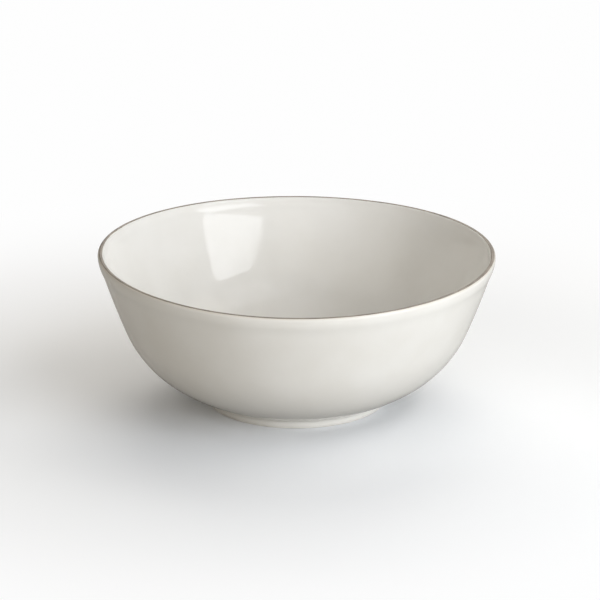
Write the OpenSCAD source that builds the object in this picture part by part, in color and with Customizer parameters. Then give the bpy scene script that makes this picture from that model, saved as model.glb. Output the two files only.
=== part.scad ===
// Round porcelain serving bowl: a fired body on a foot ring, glazed inside, outside and under the
// base, with a fired band of colour round the lip. Millimetres, +Z up, origin at the centre of the
// resting face. Every surface is turned about Z, so each node is one outline spun round the axis.

/* [Bowl] */
// Diameter across the outside of the lip
rim_d = 240; // [236:1:248]
// Height from the table to the crest of the lip
height = 93; // [89:0.5:95]
// Thickness of the wall and the lip, glaze included
wall_t = 3.6; // [3.2:0.1:4.2]
// Height of the inside floor at its centre
floor_z = 10.6; // [10.2:0.1:11.4]

/* [Wall curve] */
// Slope of the wall where the belly starts, above the horizontal
belly_low_a = 35.3; // [34:0.1:36]
// Radius of the belly
belly_r = 69; // [66:0.5:71]
// Slope of the wall where the belly ends
belly_high_a = 67.6; // [67:0.1:68.4]
// Radius of the almost straight upper wall
upper_r = 562; // [545:1:575]
// Slope at the top of the upper wall, where the flare starts
upper_a = 71; // [70.7:0.1:71.3]
// Radius of the hollow flare under the lip
flare_r = 57; // [50:1:64]
// Slope at the end of the flare
flare_a = 65; // [64:0.5:67]
// Radius of the lip's outer shoulder, above the flare
shoulder_r = 17; // [15:0.5:19]
// Slope at the end of the shoulder, where the crest rounds over
lip_a = 86; // [83:1:89]
// Slope of the inside floor at its edge, which gives its slight dish
dish_a = 2.5; // [1.5:0.1:4]

/* [Foot] */
// Outside diameter of the foot ring
foot_d = 109; // [105:0.5:111]
// Width of the foot ring
foot_w = 5; // [4.4:0.1:7]
// Height of the foot ring's upright face, below the fillet
foot_face_h = 3.1; // [2:0.1:3.6]
// Radius of the fillet between the foot and the wall
fillet_r = 3; // [2.4:0.1:3.4]
// Radius in the corner of the recess under the base
recess_r = 1.5; // [0.8:0.1:2.5]
// Slope of the recess's ceiling at its edge, which gives its slight dome
dome_a = 1.5; // [0.8:0.1:2]
// Rounding of the two edges of the bare resting face
edge_r = 0.8; // [0.5:0.1:1.2]

/* [Glaze and band] */
// Thickness of the glaze and of the fired band
glaze_t = 0.3; // [0.2:0.05:0.4]
// Height above the table at which the glaze stops
glaze_edge_z = 1.3; // [1.2:0.1:1.8]
// Slope at which the band starts on the outside of the lip, where 180 is the crest
band_start_a = 146; // [135:1:165]
// Slope at which the band ends on the inside of the lip
band_end_a = 212; // [190:1:230]

/* [Hidden] */
$fn = 180;
// Furthest that a straight step of an outline may lie from its true arc
arc_error = 0.025;
lip_r = wall_t / 2;
foot_r = foot_d / 2;
recess_wall_r = foot_r - foot_w;

// Outlines are walked as runs of arcs. A heading is an angle above +X, a left turn has a positive
// radius and a right turn a negative one. An outline moved by t to its left keeps its headings, so
// two layers that meet share the same points.
function left_of(p, a, t) = p + t * [-sin(a), cos(a)];
// How far an arc of radius r moves from heading a to heading b
function arc_step(r, a, b) = r * [sin(b) - sin(a), cos(a) - cos(b)];
function arc_count(r, a, b) = max(2, ceil(abs(b - a) / (2 * acos(1 - arc_error / abs(r)))));
// The points of an arc after its first, p
function arc(p, r, a, b) =
    let (n = arc_count(r, a, b))
    [for (i = [1:n]) p + arc_step(r, a, a + (b - a) * i / n)];
// The points, after the first, of a run of arcs [radius, last heading] from p at heading a
function arc_run(p, a, arcs, t, i = 0) =
    i == len(arcs) ? [] :
    let (r = arcs[i][0], b = arcs[i][1])
    concat(arc(left_of(p, a, t), r - t, a, b), arc_run(p + arc_step(r, a, b), b, arcs, t, i + 1));
function reversed(points) = [for (i = [len(points) - 1:-1:0]) points[i]];

// The outer wall's joints, worked out downwards from the lip
lip_centre = [rim_d / 2 - lip_r, height - lip_r];
lip_start = left_of(lip_centre, lip_a, -lip_r);
shoulder_start = lip_start - arc_step(shoulder_r, flare_a, lip_a);
flare_start = shoulder_start - arc_step(-flare_r, upper_a, flare_a);
upper_start = flare_start - arc_step(upper_r, belly_high_a, upper_a);
belly_start = upper_start - arc_step(belly_r, belly_low_a, belly_high_a);
// The wall's lowest curve leaves the belly smoothly and touches the fillet above the foot
fillet_centre = [foot_r + fillet_r, foot_face_h];
belly_reach = belly_start - fillet_centre;
base_r = (belly_reach * belly_reach - fillet_r * fillet_r)
    / (2 * (fillet_r - belly_reach * left_of([0, 0], belly_low_a, 1)));
base_centre = left_of(belly_start, belly_low_a, base_r);
base_a = asin((fillet_centre[0] - base_centre[0]) / (base_r + fillet_r));
fillet_start = [foot_r, foot_face_h];
base_start = fillet_start + arc_step(-fillet_r, 90, base_a);
// Height of the plane where the body stands on the foot ring
joint_z = left_of(base_start, base_a, glaze_t)[1];

outer_arcs = [
    [base_r, belly_low_a], [belly_r, belly_high_a], [upper_r, upper_a],
    [-flare_r, flare_a], [shoulder_r, lip_a]
];
// The outside from the fillet, after its first point, up and over the lip to slope a
function outer_wall(t, a) =
    arc_run(base_start, base_a, concat(outer_arcs, [[lip_r, a]]), t);
function foot_fillet(t) =
    concat([left_of(fillet_start, 90, t)], arc_run(fillet_start, 90, [[-fillet_r, base_a]], t));

// The inside keeps the wall's thickness down to the belly's start. Then a heel and a dish close it.
inner_belly_start = left_of(belly_start, belly_low_a, wall_t);
heel_rise = inner_belly_start[1] - floor_z - inner_belly_start[0] * tan(dish_a / 2);
heel_r = heel_rise / (cos(dish_a) - cos(belly_low_a)
    - (sin(belly_low_a) - sin(dish_a)) * tan(dish_a / 2));
dish_r = (inner_belly_start[0] - heel_r * (sin(belly_low_a) - sin(dish_a))) / sin(dish_a);
floor_centre = [0, floor_z];
inner_arcs = [
    [dish_r, dish_a], [heel_r, belly_low_a], [belly_r - wall_t, belly_high_a],
    [upper_r - wall_t, upper_a], [-flare_r - wall_t, flare_a], [shoulder_r - wall_t, lip_a]
];
// The inside from the floor's centre up to the lip, then over it from its inner edge to slope a.
// This walk has the body on its right, so a negative t goes into the body.
function inner_wall(t, a) = concat(
    [left_of(floor_centre, 0, t)],
    arc_run(floor_centre, 0, a < lip_a + 180 ? concat(inner_arcs, [[-lip_r, a - 180]]) : inner_arcs, t)
);

// The recess under the base: a slight dome, then a rounded corner to the foot ring's inner face
dome_r = (recess_wall_r - recess_r * (1 - sin(dome_a))) / sin(dome_a);
dome_centre = [0, joint_z - glaze_t + (dome_r + glaze_t) * (1 - cos(dome_a))];
dome_arc = [-dome_r, -dome_a];
dome_end = dome_centre + arc_step(dome_arc[0], 0, dome_arc[1]);
function recess_dome(t) = concat([left_of(dome_centre, 0, t)], arc_run(dome_centre, 0, [dome_arc], t));
function recess_corner(t) =
    concat([left_of(dome_end, -dome_a, t)], arc_run(dome_end, -dome_a, [[-recess_r, -90]], t));

module spun(outline) {
    rotate_extrude() polygon(outline);
}

// A coat between a finished surface and the fired clay under it, as two outlines
module coat(finished, fired) {
    spun(concat(finished, reversed(fired)));
}

// Wall and floor in one firing, without the glaze's thickness
module porcelain_body() {
    inside = reversed(inner_wall(-glaze_t, lip_a + 180));
    color([0.94, 0.92, 0.88])
    spun(concat(
        recess_dome(glaze_t), [left_of(base_start, base_a, glaze_t)],
        outer_wall(glaze_t, lip_a + 180), [for (i = [1:len(inside) - 1]) inside[i]]
    ));
}

// Ring luted under the body. Its lowest part is bare clay, and the bowl rests on it.
module foot_ring() {
    inner_face_r = recess_wall_r + glaze_t;
    outer_face_r = foot_r - glaze_t;
    color([0.87, 0.84, 0.78])
    spun(concat(
        recess_corner(glaze_t),
        [[inner_face_r, edge_r]], arc([inner_face_r, edge_r], edge_r, -90, 0),
        [[outer_face_r - edge_r, 0]], arc([outer_face_r - edge_r, 0], edge_r, 0, 90),
        foot_fillet(glaze_t)
    ));
}

// Glaze over the whole inside, up to the band
module inner_glaze() {
    color([0.90, 0.89, 0.86]) coat(inner_wall(0, band_end_a), inner_wall(-glaze_t, band_end_a));
}

// Glaze from the foot's outer face up to the band
module outer_glaze() {
    function skin(t) = concat(
        [[foot_r - t, glaze_edge_z]], foot_fillet(t), outer_wall(t, band_start_a)
    );
    color([0.90, 0.88, 0.84]) coat(skin(0), skin(glaze_t));
}

// Glaze in the recess, down the foot ring's inner face
module base_glaze() {
    function skin(t) = concat(
        [left_of(dome_centre, 0, t)], arc_run(dome_centre, 0, [dome_arc, [-recess_r, -90]], t),
        [[recess_wall_r + t, glaze_edge_z]]
    );
    color([0.88, 0.87, 0.84]) coat(skin(0), skin(glaze_t));
}

// Band of fired colour over the lip's crest
module rim_band() {
    function skin(t) =
        let (start = left_of(lip_centre, band_start_a, t - lip_r))
        concat([start], arc(start, lip_r - t, band_start_a, band_end_a));
    color([0.45, 0.38, 0.30]) coat(skin(0), skin(glaze_t));
}

porcelain_body();
foot_ring();
inner_glaze();
outer_glaze();
base_glaze();
rim_band();
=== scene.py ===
"""Looks of the porcelain serving bowl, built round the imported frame.

The bowl is turned, so each piece is one outline carried round Z. The outlines repeat the design's
run of arcs with finer steps, and add what a fired bowl has: a slight warp, a ripple in the glaze,
rolled glaze edges, a band laid on by brush, and the grain of the bare foot. Outlines are in
millimetres and degrees, meshes are in metres.
"""
import math

import bpy
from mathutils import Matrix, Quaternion, Vector, noise


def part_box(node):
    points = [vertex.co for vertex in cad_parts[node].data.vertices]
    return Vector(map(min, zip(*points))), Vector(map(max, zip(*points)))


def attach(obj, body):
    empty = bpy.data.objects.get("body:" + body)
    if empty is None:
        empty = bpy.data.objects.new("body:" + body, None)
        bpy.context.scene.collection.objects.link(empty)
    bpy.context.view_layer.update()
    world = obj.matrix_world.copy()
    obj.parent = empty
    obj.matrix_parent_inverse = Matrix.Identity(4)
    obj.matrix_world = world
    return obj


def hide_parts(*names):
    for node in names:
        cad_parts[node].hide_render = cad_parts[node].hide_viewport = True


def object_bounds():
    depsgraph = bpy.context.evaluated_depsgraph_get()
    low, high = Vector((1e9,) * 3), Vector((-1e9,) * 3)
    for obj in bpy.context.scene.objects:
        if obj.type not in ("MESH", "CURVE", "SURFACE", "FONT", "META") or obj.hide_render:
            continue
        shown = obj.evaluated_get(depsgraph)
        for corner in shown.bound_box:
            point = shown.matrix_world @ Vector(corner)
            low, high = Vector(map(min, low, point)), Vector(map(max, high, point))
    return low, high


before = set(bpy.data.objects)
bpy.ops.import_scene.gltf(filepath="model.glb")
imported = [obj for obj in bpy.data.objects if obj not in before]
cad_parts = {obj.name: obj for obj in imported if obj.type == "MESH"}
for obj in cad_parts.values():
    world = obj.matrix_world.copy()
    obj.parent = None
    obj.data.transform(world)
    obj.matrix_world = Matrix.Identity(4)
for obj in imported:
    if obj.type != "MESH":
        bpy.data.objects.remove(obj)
cad_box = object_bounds()

MM = 0.001

# ---- Driving dimensions: the first three come from the frame, the rest repeat the design ----
RIM_R = cad_box[1].y / MM
HEIGHT = cad_box[1].z / MM
FLOOR_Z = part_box("inner_glaze")[0].z / MM
WALL_T = 3.6
BELLY_LOW_A, BELLY_R, BELLY_HIGH_A = 35.3, 69.0, 67.6
UPPER_R, UPPER_A = 562.0, 71.0
FLARE_R, FLARE_A = 57.0, 65.0
SHOULDER_R, LIP_A = 17.0, 86.0
DISH_A = 2.5
FOOT_R, FOOT_W, FOOT_FACE_H = 54.5, 5.0, 3.1
FILLET_R, RECESS_R, DOME_A, EDGE_R = 3.0, 1.5, 1.5, 0.8
GLAZE_T = 0.3
GLAZE_EDGE_Z = 1.3
BAND_START_A, BAND_END_A = 146.0, 212.0

# ---- What the kiln and the hand leave on it ----
SADDLE, LEAN = 1.04, -0.73  # how far the lip is warped up at its sides, and leans
RIPPLE, RIPPLE_CELL = 0.045, 24.0  # unevenness of the glaze and its spacing
FINE_SHARE, FINE_TIMES = 0.4, 3  # the ripple's finer part: its share, and how much finer it is
BAND_WOBBLE_A = 4.0  # how far the band's edges wander, in degrees of the lip's rounding
BAND_PROUD = 0.03
ROLL, BEAD = 0.55, 0.05  # width of the glaze's rolled edge, and the bead above it
BEAD_AT, BEAD_SPREAD = 1.1, 0.8  # where the bead is and how wide, in widths of the rolled edge
EDGE_WOBBLE = 0.22
RING, RING_SPACING = 0.025, 3.2  # turning rings under the base
GRAIN, GRAIN_PITCH = 0.02, 1.5  # roughness of the bare clay, and its pits per millimetre

# ---- Mesh fineness ----
SEGMENTS = 288
STEP = 1.5  # longest step along an arc
FEWEST_STEPS = 8  # on any arc or upright face
ON_AXIS = 1e-6  # a radius below this is on the axis
SHARP_A = 50  # an edge that turns more than this stays crisp


def left_of(point, heading, shift):
    turn = math.radians(heading)
    return point + shift * Vector((-math.sin(turn), math.cos(turn)))


def arc_step(radius, start, end):
    """How far an arc moves from one heading to another."""
    a, b = math.radians(start), math.radians(end)
    return radius * Vector((math.sin(b) - math.sin(a), math.cos(a) - math.cos(b)))


def walk(start, heading, arcs):
    """Stations (place, heading) along a run of arcs (radius, last heading), both ends included."""
    stations = [(start, heading)]
    for radius, last in arcs:
        length = abs(radius * math.radians(last - heading))
        steps = max(FEWEST_STEPS, math.ceil(length / STEP))
        for i in range(1, steps + 1):
            now = heading + (last - heading) * i / steps
            stations.append((start + arc_step(radius, heading, now), now))
        start, heading = start + arc_step(radius, heading, last), last
    return stations


def shifted(stations, shift):
    return [left_of(place, heading, shift) for place, heading in stations]


# ---- The design's run of arcs, worked out downwards from the lip ----
LIP_R = WALL_T / 2
lip_centre = Vector((RIM_R - LIP_R, HEIGHT - LIP_R))
lip_start = left_of(lip_centre, LIP_A, -LIP_R)
shoulder_start = lip_start - arc_step(SHOULDER_R, FLARE_A, LIP_A)
flare_start = shoulder_start - arc_step(-FLARE_R, UPPER_A, FLARE_A)
upper_start = flare_start - arc_step(UPPER_R, BELLY_HIGH_A, UPPER_A)
belly_start = upper_start - arc_step(BELLY_R, BELLY_LOW_A, BELLY_HIGH_A)
fillet_centre = Vector((FOOT_R + FILLET_R, FOOT_FACE_H))
belly_reach = belly_start - fillet_centre
belly_side = left_of(Vector((0, 0)), BELLY_LOW_A, 1)
base_r = (belly_reach.length_squared - FILLET_R**2) / 2 / (FILLET_R - belly_reach.dot(belly_side))
base_centre = left_of(belly_start, BELLY_LOW_A, base_r)
base_a = math.degrees(math.asin((fillet_centre.x - base_centre.x) / (base_r + FILLET_R)))
fillet_start = Vector((FOOT_R, FOOT_FACE_H))
base_start = fillet_start + arc_step(-FILLET_R, 90, base_a)
joint_z = left_of(base_start, base_a, GLAZE_T).y

OUTER_ARCS = [
    (base_r, BELLY_LOW_A), (BELLY_R, BELLY_HIGH_A), (UPPER_R, UPPER_A),
    (-FLARE_R, FLARE_A), (SHOULDER_R, LIP_A),
]

inner_belly_start = left_of(belly_start, BELLY_LOW_A, WALL_T)
low, dish = math.radians(BELLY_LOW_A), math.radians(DISH_A)
heel_rise = inner_belly_start.y - FLOOR_Z - inner_belly_start.x * math.tan(dish / 2)
heel_spread = math.sin(low) - math.sin(dish)
heel_r = heel_rise / (math.cos(dish) - math.cos(low) - heel_spread * math.tan(dish / 2))
dish_r = (inner_belly_start.x - heel_r * heel_spread) / math.sin(dish)
INNER_ARCS = [
    (dish_r, DISH_A), (heel_r, BELLY_LOW_A), (BELLY_R - WALL_T, BELLY_HIGH_A),
    (UPPER_R - WALL_T, UPPER_A), (-FLARE_R - WALL_T, FLARE_A), (SHOULDER_R - WALL_T, LIP_A),
]

recess_wall_r = FOOT_R - FOOT_W
dome = math.radians(DOME_A)
dome_r = (recess_wall_r - RECESS_R * (1 - math.sin(dome))) / math.sin(dome)
dome_centre = Vector((0, joint_z - GLAZE_T + (dome_r + GLAZE_T) * (1 - math.cos(dome))))
dome_end = dome_centre + arc_step(-dome_r, 0, -DOME_A)


# ---- Unevenness, as functions of a place round the bowl ----
def around(azimuth, reach, height=0.0):
    return Vector((reach * math.cos(azimuth), reach * math.sin(azimuth), height))


def wander(azimuth, seed, lobes):
    """A smooth value from about -1 to 1 that closes round the bowl."""
    slow, quick = around(azimuth, lobes, seed), around(azimuth, 4 * lobes, seed)
    return noise.noise(slow) + 0.5 * noise.noise(quick)


def ripple(place, azimuth):
    at = around(azimuth, place.x, place.y) / RIPPLE_CELL
    return RIPPLE * (noise.noise(at) + FINE_SHARE * noise.noise(FINE_TIMES * at))


def band_edges(azimuth):
    """Slopes on the lip's rounding where the band starts outside and ends inside."""
    return (
        BAND_START_A + BAND_WOBBLE_A * wander(azimuth, seed=3.1, lobes=2.0),
        BAND_END_A + BAND_WOBBLE_A * wander(azimuth, seed=8.7, lobes=2.0),
    )


def glaze_edge(azimuth, seed):
    return GLAZE_EDGE_Z + EDGE_WOBBLE * wander(azimuth, seed, lobes=3.0)


def edge_depth(above):
    """How far a glaze's face lies inside its true surface, at a height above its lower edge."""
    rolled = 0.0
    if above < ROLL:
        rolled = GLAZE_T * (1 - math.sqrt(max(0.0, 1 - (1 - above / ROLL) ** 2)))
    return rolled - BEAD * math.exp(-(((above - BEAD_AT * ROLL) / (BEAD_SPREAD * ROLL)) ** 2))


def upright(r, bottom, top, heading):
    """Stations on a foot ring's upright face, closer together towards the bottom."""
    shares = [(i / FEWEST_STEPS) ** 2 for i in range(FEWEST_STEPS)]
    return [(Vector((r, bottom + (top - bottom) * share)), heading) for share in shares]


# ---- Outlines of the six pieces at one azimuth ----
def coat(skin, stations, into):
    """A closed outline from a coat's finished face, and its fired face on the clay."""
    return skin + shifted(stations, into * GLAZE_T)[::-1]


def inner_glaze_outline(azimuth):
    end = band_edges(azimuth)[1]
    stations = walk(Vector((0, FLOOR_Z)), 0, INNER_ARCS + [(-LIP_R, end - 180)])
    skin = [left_of(p, a, ripple(p, azimuth) * min(1, p.x / RIPPLE_CELL)) for p, a in stations]
    return coat(skin, stations, -1)


def outer_glaze_outline(azimuth):
    bottom = glaze_edge(azimuth, seed=5.3)
    start = band_edges(azimuth)[0]
    stations = upright(FOOT_R, bottom, FOOT_FACE_H, 90)
    stations += walk(fillet_start, 90, [(-FILLET_R, base_a)] + OUTER_ARCS + [(LIP_R, start)])
    skin = [left_of(p, a, edge_depth(p.y - bottom) - ripple(p, azimuth)) for p, a in stations]
    return coat(skin, stations, 1)


def base_glaze_outline(azimuth):
    bottom = glaze_edge(azimuth, seed=6.9)
    stations = walk(dome_centre, 0, [(-dome_r, -DOME_A), (-RECESS_R, -90)])
    stations += upright(recess_wall_r, bottom, stations[-1][0].y, -90)[::-1]

    def depth(place):
        rings = RING * math.cos(math.tau * place.x / RING_SPACING) * min(1, place.x / RING_SPACING)
        return edge_depth(place.y - bottom) + rings

    return coat([left_of(p, a, depth(p)) for p, a in stations], stations, 1)


def rim_band_outline(azimuth):
    start, end = band_edges(azimuth)
    stations = walk(left_of(lip_centre, start, -LIP_R), start, [(LIP_R, end)])
    last = len(stations) - 1
    skin = [
        left_of(p, a, -BAND_PROUD * math.sin(math.pi * i / last) ** 0.5 - ripple(p, azimuth))
        for i, (p, a) in enumerate(stations)
    ]
    return coat(skin, stations, 1)


def body_outline(azimuth):
    """The fired wall and floor, the same all round."""
    outside = walk(base_start, base_a, OUTER_ARCS + [(LIP_R, LIP_A + 180)])
    inside = walk(Vector((0, FLOOR_Z)), 0, INNER_ARCS)
    under = walk(dome_centre, 0, [(-dome_r, -DOME_A)])
    return shifted(under, GLAZE_T) + shifted(outside, GLAZE_T) + shifted(inside, -GLAZE_T)[-2::-1]


def foot_ring_outline(azimuth):
    inner_r, outer_r = recess_wall_r + GLAZE_T, FOOT_R - GLAZE_T
    corner = walk(dome_end, -DOME_A, [(-RECESS_R, -90)])
    inner_edge = walk(Vector((inner_r, EDGE_R)), -90, [(EDGE_R, 0)])
    outer_edge = walk(Vector((outer_r - EDGE_R, 0)), 0, [(EDGE_R, 90)])
    fillet = walk(fillet_start, 90, [(-FILLET_R, base_a)])

    def worn(place):
        pit = noise.noise(around(azimuth, place.x, place.y) * GRAIN_PITCH)
        return place + Vector((0, GRAIN * (1 + pit)))

    resting = [worn(p) for p, a in inner_edge + outer_edge]
    return shifted(corner, GLAZE_T) + resting + shifted(fillet, GLAZE_T)


# ---- Meshes ----
def warped(azimuth, place):
    """A point in metres, with the warp that grows towards the lip."""
    warp = SADDLE * math.cos(2 * azimuth) + LEAN * math.cos(azimuth)
    return around(azimuth, place.x, place.y + warp * (place.y / HEIGHT) ** 2) * MM


def turned(name, outline, node, material):
    """A closed mesh of an outline carried round Z, in place of a CAD node."""
    azimuths = [math.tau * i / SEGMENTS for i in range(SEGMENTS)]
    outlines = [outline(azimuth) for azimuth in azimuths]
    count = len(outlines[0])
    on_axis = [place.x < ON_AXIS for place in outlines[0]]
    points, index, heights = [], {}, []
    for j in range(count):
        for i, azimuth in enumerate(azimuths[:1] if on_axis[j] else azimuths):
            index[i, j] = len(points)
            points.append(warped(azimuth, outlines[i][j]))
            heights.append(outlines[i][j].y)

    def at(i, j):
        return index[0 if on_axis[j % count] else i % SEGMENTS, j % count]

    faces = []
    for i in range(SEGMENTS):
        for j in range(count):
            corners = [at(i, j), at(i + 1, j), at(i + 1, j + 1), at(i, j + 1)]
            corners = list(dict.fromkeys(corners))
            if len(corners) > 2:
                faces.append(corners)
    mesh = bpy.data.meshes.new(name)
    mesh.from_pydata(points, [], faces)
    mesh.attributes.new("height_mm", "FLOAT", "POINT").data.foreach_set("value", heights)
    mesh.validate()
    mesh.shade_smooth()
    mesh.set_sharp_from_angle(angle=math.radians(SHARP_A))
    mesh.materials.append(material)
    piece = bpy.data.objects.new(name, mesh)
    bpy.context.scene.collection.objects.link(piece)
    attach(piece, "root")
    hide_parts(node)


# ---- Colours and grain of the materials ----
def colour(red, green, blue):
    return (red, green, blue, 1.0)


# The glaze is one coat all over, but its outside copy is darker and warmer than the inside one:
# painted shade. The base's copy is darker still.
GLAZE_INSIDE = colour(0.81, 0.803, 0.78), colour(0.78, 0.771, 0.742)
GLAZE_OUTSIDE_PAINTED_SHADE = colour(0.785, 0.769, 0.725), colour(0.755, 0.735, 0.685)
GLAZE_BASE = colour(0.72, 0.70, 0.66), colour(0.68, 0.65, 0.60)
BARE_CLAY = colour(0.78, 0.755, 0.71), colour(0.72, 0.69, 0.64)
FIRED_CLAY = colour(0.78, 0.75, 0.70), colour(0.73, 0.70, 0.64)
BAND = colour(0.285, 0.248, 0.209), colour(0.19, 0.164, 0.138)
SPECK = colour(0.34, 0.24, 0.15)
GRIT = colour(0.42, 0.36, 0.28)

# The band's colour that ran into the glaze below it: how strong at the lip, and how far down in mm
BLEED, BLEED_SHARE, BLEED_DEPTH = colour(0.66, 0.57, 0.46), 0.35, 1.6

# Scales are per metre. Sizes of specks are in cells, and one cell in about fifteen has one.
MOSTLY, WIDELY = (0.3, 0.7), (0.2, 0.8)  # where most, or nearly all, of a noise's values lie
CLOUDS, GLAZE_GRAIN, GLAZE_DIMPLES = 26, 420, 300
SPECK_CELLS, SPECK_SIZES, SPECK_RARE, SPECK_SHARE = 130, (0.016, 0.03), (0.93, 0.94), 0.35
BAND_STREAKS, BAND_GRAIN, BAND_DIMPLES = 90, 700, 900
CLAY_CLOUDS, CLAY_GRAIN, GRIT_RARE, GRIT_SHARE = 60, 2600, (0.62, 0.78), 0.5
DIMPLE_DEPTH, CLAY_DEPTH = 0.00002, 0.00006
GLAZE_ROUGH, BAND_ROUGH, CLAY_ROUGH = (0.05, 0.11), (0.3, 0.45), (0.72, 0.92)
GLAZE_IOR, GLAZE_SPECULAR, BAND_SPECULAR = 1.45, 0.27, 0.16


class Nodes:
    """A material's node tree, with short ways to add and link nodes."""

    def __init__(self, name):
        self.material = bpy.data.materials.new(name)
        self.material.use_nodes = True
        self.tree = self.material.node_tree
        self.shader = self.tree.nodes["Principled BSDF"]
        self.place = self.add("ShaderNodeTexCoord").outputs["Object"]

    def add(self, kind, inputs=(), **settings):
        node = self.tree.nodes.new(kind)
        for key, value in settings.items():
            setattr(node, key, value)
        for key, value in dict(inputs).items():
            if isinstance(value, bpy.types.NodeSocket):
                self.tree.links.new(value, node.inputs[key])
            else:
                node.inputs[key].default_value = value
        return node

    def noise(self, scale, detail):
        inputs = {"Vector": self.place, "Scale": scale, "Detail": detail}
        return self.add("ShaderNodeTexNoise", inputs).outputs["Fac"]

    def ranged(self, value, low, high, to_low=0.0, to_high=1.0):
        """A value eased from one range to another."""
        inputs = {"Value": value, "From Min": low, "From Max": high}
        inputs.update({"To Min": to_low, "To Max": to_high})
        node = self.add("ShaderNodeMapRange", inputs, interpolation_type="SMOOTHSTEP")
        return node.outputs["Result"]

    def patches(self, scale, to_low=0.0, to_high=1.0, detail=3):
        """Soft patches of noise, spread over a range."""
        return self.ranged(self.noise(scale, detail), *MOSTLY, to_low, to_high)

    def mixed(self, share, first, second):
        """A mix of two colours. The node's inputs 0, 6 and 7 are the colour mix's own."""
        inputs = {0: share, 6: first, 7: second}
        return self.add("ShaderNodeMix", inputs, data_type="RGBA").outputs[2]

    def height(self):
        """Height above the table before the warp, in millimetres."""
        return self.add("ShaderNodeAttribute", attribute_name="height_mm").outputs["Fac"]

    def bump(self, height, distance):
        inputs = {"Height": height, "Distance": distance, "Strength": 1.0}
        self.drive("Normal", self.add("ShaderNodeBump", inputs).outputs["Normal"])

    def drive(self, socket, value):
        self.tree.links.new(value, self.shader.inputs[socket])


def glaze_material(name, pale, deep, bleed=0.0):
    """Glossy off-white glaze: cloudy tint, rare specks, uneven gloss, the band's bleed."""
    n = Nodes(name)
    cloudy = n.mixed(n.patches(CLOUDS), pale, deep)
    near_lip = n.ranged(n.height(), HEIGHT - BLEED_DEPTH, HEIGHT, 0.0, bleed)
    warm = n.mixed(near_lip, cloudy, BLEED)
    cell = n.add("ShaderNodeTexVoronoi", {"Vector": n.place, "Scale": SPECK_CELLS})
    near = n.ranged(cell.outputs["Distance"], *SPECK_SIZES, 1.0, 0.0)
    lot = n.add("ShaderNodeSeparateColor", {"Color": cell.outputs["Color"]}).outputs[0]
    rare = n.ranged(lot, *SPECK_RARE)
    speck = n.add("ShaderNodeMath", {0: near, 1: rare}, operation="MULTIPLY").outputs[0]
    n.drive("Base Color", n.mixed(n.ranged(speck, 0, 1, 0, SPECK_SHARE), warm, SPECK))
    n.drive("Roughness", n.patches(GLAZE_GRAIN, *GLAZE_ROUGH))
    n.bump(n.noise(GLAZE_DIMPLES, detail=2), DIMPLE_DEPTH)
    n.shader.inputs["IOR"].default_value = GLAZE_IOR
    n.shader.inputs["Specular IOR Level"].default_value = GLAZE_SPECULAR
    return n.material


def band_material(name, pale, deep):
    """Fired taupe-brown colour with a dull lustre, brushed round the lip."""
    n = Nodes(name)
    n.drive("Base Color", n.mixed(n.patches(BAND_STREAKS, detail=4), pale, deep))
    n.drive("Roughness", n.patches(BAND_GRAIN, *BAND_ROUGH))
    n.bump(n.noise(BAND_DIMPLES, detail=3), DIMPLE_DEPTH)
    n.shader.inputs["Specular IOR Level"].default_value = BAND_SPECULAR
    return n.material


def bare_material(name, pale, deep):
    """Unglazed fired porcelain: matte, with a fine grain and darker grit."""
    n = Nodes(name)
    grain = n.noise(CLAY_GRAIN, detail=4)
    cloudy = n.mixed(n.patches(CLAY_CLOUDS, detail=4), pale, deep)
    n.drive("Base Color", n.mixed(n.ranged(grain, *GRIT_RARE, 0, GRIT_SHARE), cloudy, GRIT))
    n.drive("Roughness", n.ranged(grain, *WIDELY, *CLAY_ROUGH))
    n.bump(grain, CLAY_DEPTH)
    return n.material


glaze_in = glaze_material("glaze_inside", *GLAZE_INSIDE)
glaze_out = glaze_material("glaze_outside", *GLAZE_OUTSIDE_PAINTED_SHADE, bleed=BLEED_SHARE)
glaze_under = glaze_material("glaze_base", *GLAZE_BASE)
clay = bare_material("bare_clay", *BARE_CLAY)
fired = bare_material("fired_clay", *FIRED_CLAY)
band = band_material("fired_band", *BAND)

turned("body", body_outline, "porcelain_body", fired)
turned("foot", foot_ring_outline, "foot_ring", clay)
turned("glaze_coat_inside", inner_glaze_outline, "inner_glaze", glaze_in)
turned("glaze_coat_outside", outer_glaze_outline, "outer_glaze", glaze_out)
turned("glaze_coat_base", base_glaze_outline, "base_glaze", glaze_under)
turned("band", rim_band_outline, "rim_band", band)


# ---- Stage ----
CAMERA_TARGET = (0.002, 0, 0.063)
CAMERA_AWAY = 2.6
CAMERA_DOWN_A = 18.7
CAMERA_LENS, CAMERA_SENSOR = 257.7, 36  # millimetres
FLOOR_R = 8
FLOOR_SEEN = colour(0.92, 0.945, 0.98), colour(0.94, 0.965, 1.0)
FLOOR_BOUNCE = colour(0.52, 0.52, 0.52)
FLOOR_CLOUDS, FLOOR_GRAIN, FLOOR_ROUGH = 3, 40, (0.85, 0.95)
FADE = (0.1, 0.42)  # distances from the bowl where the fade starts and ends, in metres
BACKDROP = colour(0.99, 0.99, 0.99)
COOL, WARM, SOFT_WARM = (0.93, 0.96, 1.0), (1.0, 0.938, 0.844), (1.0, 0.97, 0.92)
WORLD_LIGHT = 0.02


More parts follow.
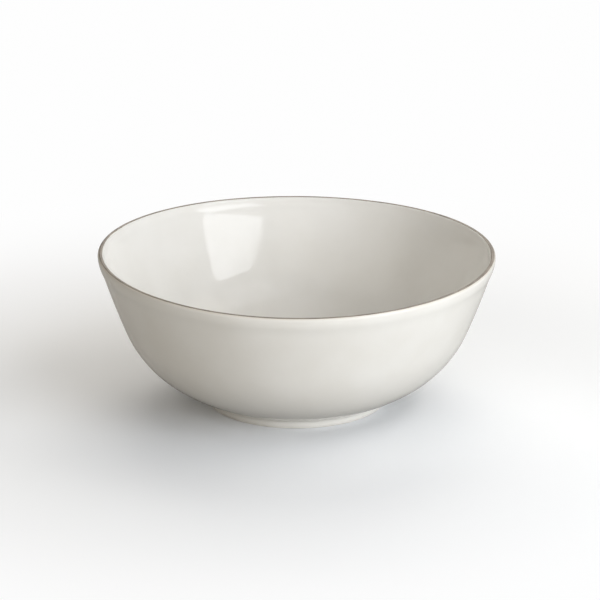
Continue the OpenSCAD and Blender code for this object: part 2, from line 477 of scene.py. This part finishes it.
def floor_material():
    """Paper that is white to the camera and mid grey to every other ray, so that it throws less
    light back on the bowl. Away from the bowl it fades into the backdrop."""
    n = Nodes("paper")
    seen = n.mixed(n.noise(FLOOR_CLOUDS, detail=4), *FLOOR_SEEN)
    in_picture = n.add("ShaderNodeLightPath").outputs["Is Camera Ray"]
    n.drive("Base Color", n.mixed(in_picture, FLOOR_BOUNCE, seen))
    n.drive("Roughness", n.ranged(n.noise(FLOOR_GRAIN, detail=2), 0, 1, *FLOOR_ROUGH))
    away = n.add("ShaderNodeVectorMath", {0: n.place}, operation="LENGTH").outputs["Value"]
    fade = n.add("ShaderNodeMath", {0: n.ranged(away, *FADE), 1: in_picture}, operation="MULTIPLY")
    far = n.add("ShaderNodeEmission", {"Color": BACKDROP})
    shaders = {0: fade.outputs[0], 1: n.shader.outputs[0], 2: far.outputs[0]}
    both = n.add("ShaderNodeMixShader", shaders)
    n.tree.links.new(both.outputs[0], n.tree.nodes["Material Output"].inputs["Surface"])
    return n.material


def add_floor():
    bpy.ops.mesh.primitive_circle_add(vertices=96, radius=FLOOR_R, fill_type="NGON")
    floor = bpy.context.object
    floor.name = "floor"
    floor.data.materials.append(floor_material())


def add_camera():
    """Looks along +Y and down on the bowl."""
    data = bpy.data.cameras.new("camera")
    data.lens, data.sensor_width = CAMERA_LENS, CAMERA_SENSOR
    camera = bpy.data.objects.new("camera", data)
    bpy.context.scene.collection.objects.link(camera)
    down = math.radians(CAMERA_DOWN_A)
    back = Vector((0, -math.cos(down), math.sin(down)))
    camera.location = Vector(CAMERA_TARGET) + CAMERA_AWAY * back
    camera.rotation_euler = (math.radians(90) - down, 0, 0)
    bpy.context.scene.camera = camera


def add_softbox(name, tint, azimuth, elevation, away, width, height, radiance, roll=0.0):
    """An area light that faces the bowl. Azimuth is measured from the camera's side towards +X."""
    data = bpy.data.lights.new(name, "AREA")
    data.shape, data.size, data.size_y = "RECTANGLE", width, height
    data.energy = radiance * math.pi * width * height
    data.color = tint
    light = bpy.data.objects.new(name, data)
    bpy.context.scene.collection.objects.link(light)
    a, e = math.radians(azimuth), math.radians(elevation)
    out = Vector((math.sin(a) * math.cos(e), -math.cos(a) * math.cos(e), math.sin(e)))
    light.location = Vector(CAMERA_TARGET) + away * out
    facing = out.to_track_quat("Z", "Y") @ Quaternion((0, 0, 1), math.radians(roll))
    light.rotation_euler = facing.to_euler()


def add_world():
    """Faint warm light from all sides, and a pale backdrop above the floor's far edge."""
    world = bpy.data.worlds.new("studio")
    bpy.context.scene.world = world
    world.use_nodes = True
    nodes, links = world.node_tree.nodes, world.node_tree.links
    faint, backdrop = nodes["Background"], nodes.new("ShaderNodeBackground")
    faint.inputs["Color"].default_value = (*WARM, 1.0)
    faint.inputs["Strength"].default_value = WORLD_LIGHT
    backdrop.inputs["Color"].default_value = BACKDROP
    in_picture, mix = nodes.new("ShaderNodeLightPath"), nodes.new("ShaderNodeMixShader")
    links.new(in_picture.outputs["Is Camera Ray"], mix.inputs[0])
    links.new(faint.outputs[0], mix.inputs[1])
    links.new(backdrop.outputs[0], mix.inputs[2])
    links.new(mix.outputs[0], nodes["World Output"].inputs["Surface"])


add_floor()
add_camera()
# Name, tint, azimuth, elevation, distance, width, height, radiance
add_softbox("key", COOL, 45, 13.5, 1.2, 0.83, 0.6, 7.7, roll=7)
add_softbox("key_upper", COOL, 45, 50, 1.3, 0.8, 0.5, 1.95)
add_softbox("card", WARM, -45, 22, 1.4, 1.5, 1.2, 0.96)
add_softbox("overhead", WARM, 0, 88, 1.4, 1.2, 1.2, 0.48)
add_softbox("side", WARM, 100, 45, 1.3, 0.8, 0.6, 1.95)
add_softbox("rear", SOFT_WARM, 180, 28, 1.3, 1.2, 0.3, 4.8)
add_softbox("rear_upper", WARM, 180, 50, 1.4, 1.0, 0.8, 2.1)
add_softbox("front", WARM, 0, 20, 2.2, 0.9, 0.9, 1.3)
add_world()

bpy.context.scene.view_settings.view_transform = "Standard"

bpy.context.view_layer.update()
